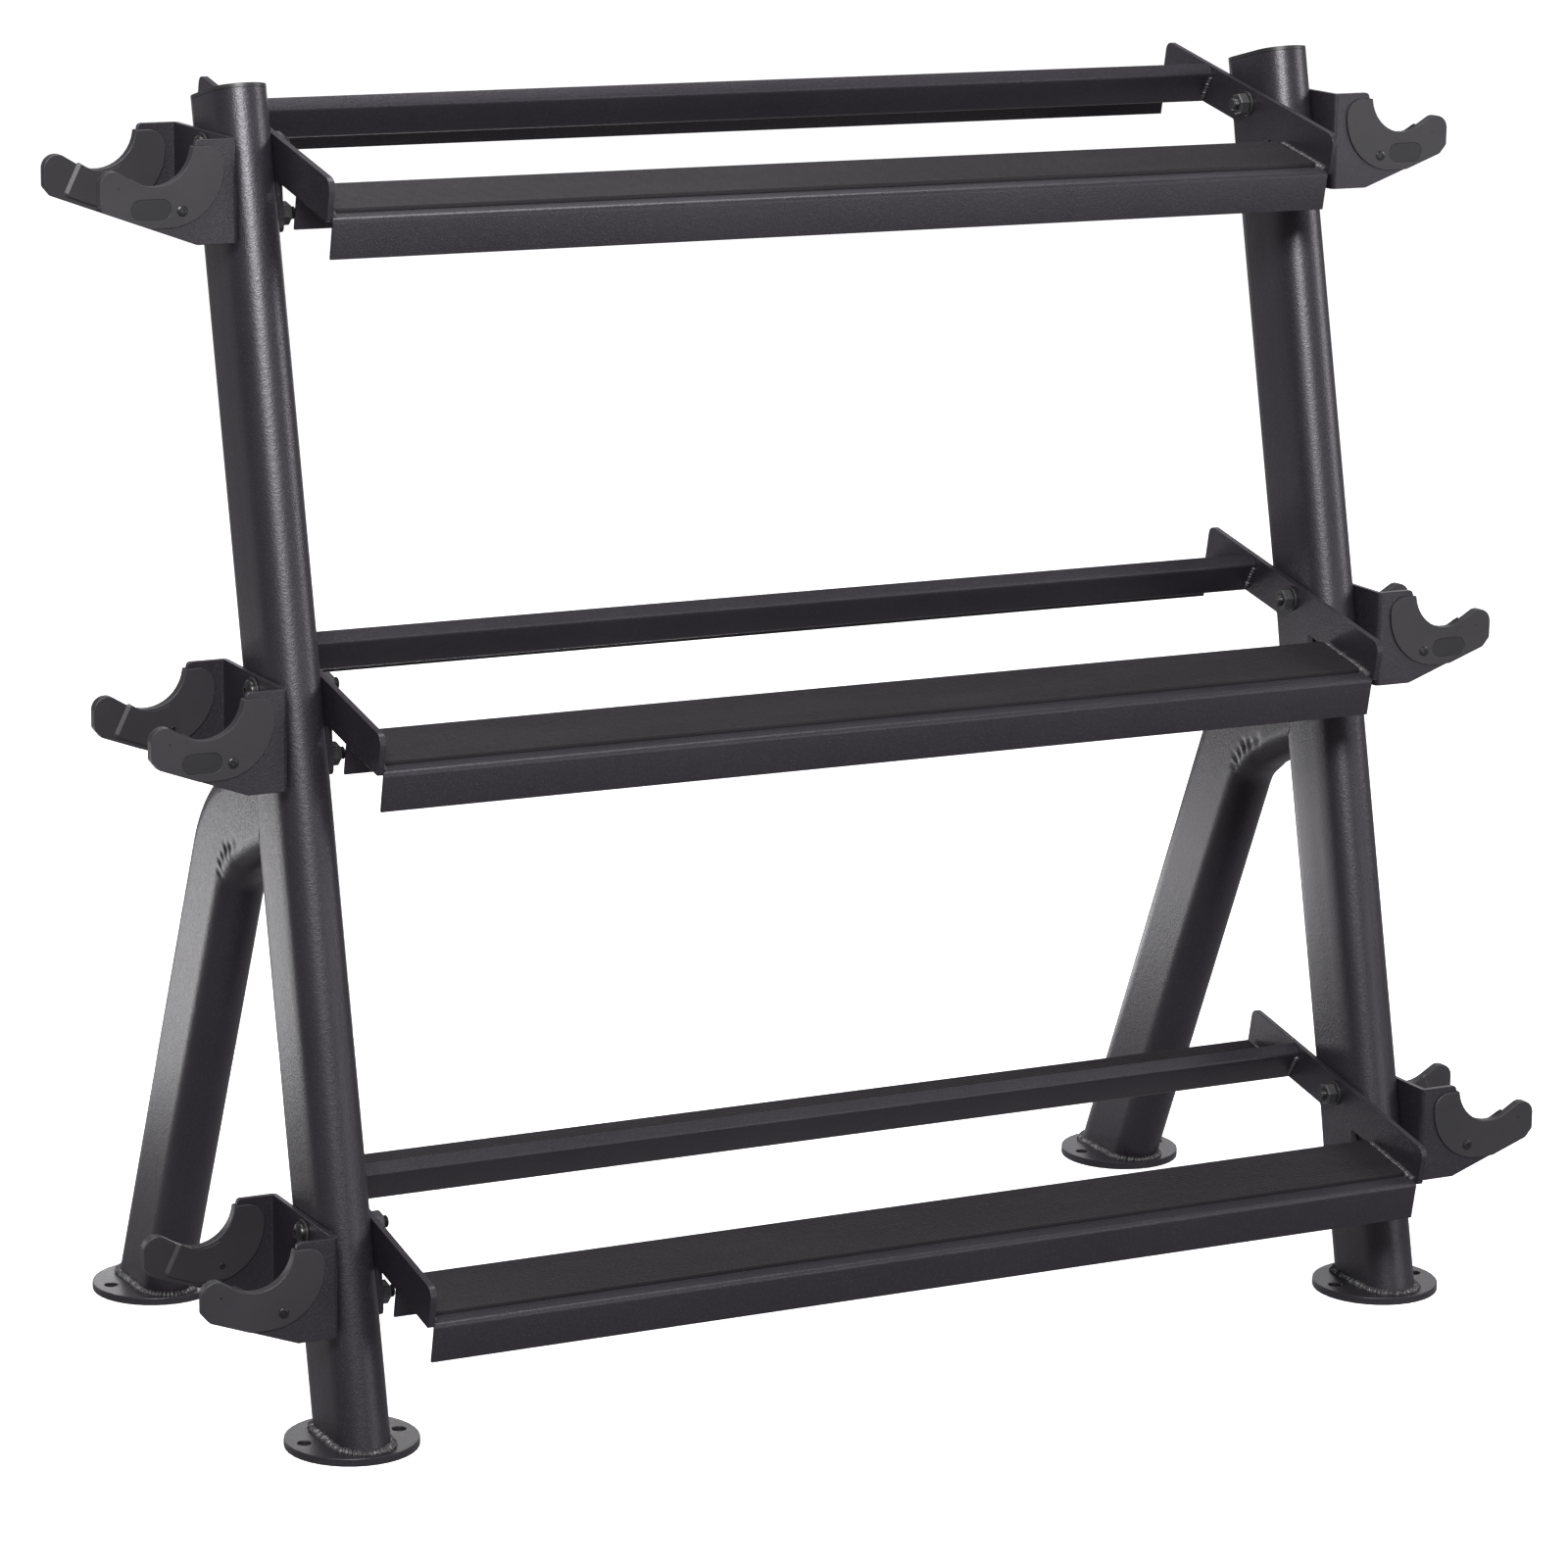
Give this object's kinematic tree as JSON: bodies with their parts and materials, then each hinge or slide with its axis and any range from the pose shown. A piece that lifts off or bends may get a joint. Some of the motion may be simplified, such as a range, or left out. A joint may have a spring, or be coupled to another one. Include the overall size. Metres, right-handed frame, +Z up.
{
  "type": "dumbbell rack",
  "caption": "Free-standing tiered dumbbell rack with leaning flat-oval side frames, sloping ribbed-mat shelves and lined hooks bolted to its sides.",
  "frame": {"origin": "centre of the rack's footprint box, on the floor", "axes": "+X along the shelves, towards the right-hand side frame; -Y towards the person who lifts a dumbbell; +Z up"},
  "size_m": [1.3964, 0.6782, 1.1963],
  "materials": {
    "frame_paint": "fine-textured dark grey powder coat",
    "rail_paint": "fine-textured dark grey powder coat on folded sheet",
    "hook_paint": "fine-textured dark grey powder coat",
    "floor_plate_paint": "fine-textured dark grey powder coat",
    "mat_rubber": "matte black ribbed rubber",
    "liner_plastic": "moulded dark grey plastic, lightly grained",
    "cap_plastic": "moulded dark grey plastic",
    "bolt_black": "black-oxide steel"
  },
  "bodies": {
    "root": {"upright_left": "frame_paint", "upright_right": "frame_paint", "rear_leg_left": "frame_paint", "rear_leg_right": "frame_paint", "floor_plate_front_left": "floor_plate_paint", "floor_plate_front_right": "floor_plate_paint", "floor_plate_rear_left": "floor_plate_paint", "floor_plate_rear_right": "floor_plate_paint", "top_cap_left": "cap_plastic", "top_cap_right": "cap_plastic", "front_rail_bottom": "rail_paint", "front_mat_bottom": "mat_rubber", "rear_rail_bottom": "rail_paint", "rear_mat_bottom": "mat_rubber", "end_plate_bottom_left": "rail_paint", "hook_bracket_bottom_left": "hook_paint", "hook_liner_bottom_left_front": "liner_plastic", "hook_liner_bottom_left_rear": "liner_plastic", "bolt_set_bottom_left_upper": "bolt_black", "bolt_set_bottom_left_lower": "bolt_black", "end_plate_bottom_right": "rail_paint", "hook_bracket_bottom_right": "hook_paint", "hook_liner_bottom_right_front": "liner_plastic", "hook_liner_bottom_right_rear": "liner_plastic", "bolt_set_bottom_right_upper": "bolt_black", "bolt_set_bottom_right_lower": "bolt_black", "front_rail_middle": "rail_paint", "front_mat_middle": "mat_rubber", "rear_rail_middle": "rail_paint", "rear_mat_middle": "mat_rubber", "end_plate_middle_left": "rail_paint", "hook_bracket_middle_left": "hook_paint", "hook_liner_middle_left_front": "liner_plastic", "hook_liner_middle_left_rear": "liner_plastic", "bolt_set_middle_left_upper": "bolt_black", "bolt_set_middle_left_lower": "bolt_black", "end_plate_middle_right": "rail_paint", "hook_bracket_middle_right": "hook_paint", "hook_liner_middle_right_front": "liner_plastic", "hook_liner_middle_right_rear": "liner_plastic", "bolt_set_middle_right_upper": "bolt_black", "bolt_set_middle_right_lower": "bolt_black", "front_rail_top": "rail_paint", "front_mat_top": "mat_rubber", "rear_rail_top": "rail_paint", "rear_mat_top": "mat_rubber", "end_plate_top_left": "rail_paint", "hook_bracket_top_left": "hook_paint", "hook_liner_top_left_front": "liner_plastic", "hook_liner_top_left_rear": "liner_plastic", "bolt_set_top_left_upper": "bolt_black", "bolt_set_top_left_lower": "bolt_black", "end_plate_top_right": "rail_paint", "hook_bracket_top_right": "hook_paint", "hook_liner_top_right_front": "liner_plastic", "hook_liner_top_right_rear": "liner_plastic", "bolt_set_top_right_upper": "bolt_black", "bolt_set_top_right_lower": "bolt_black"}
  },
  "joints": []
}
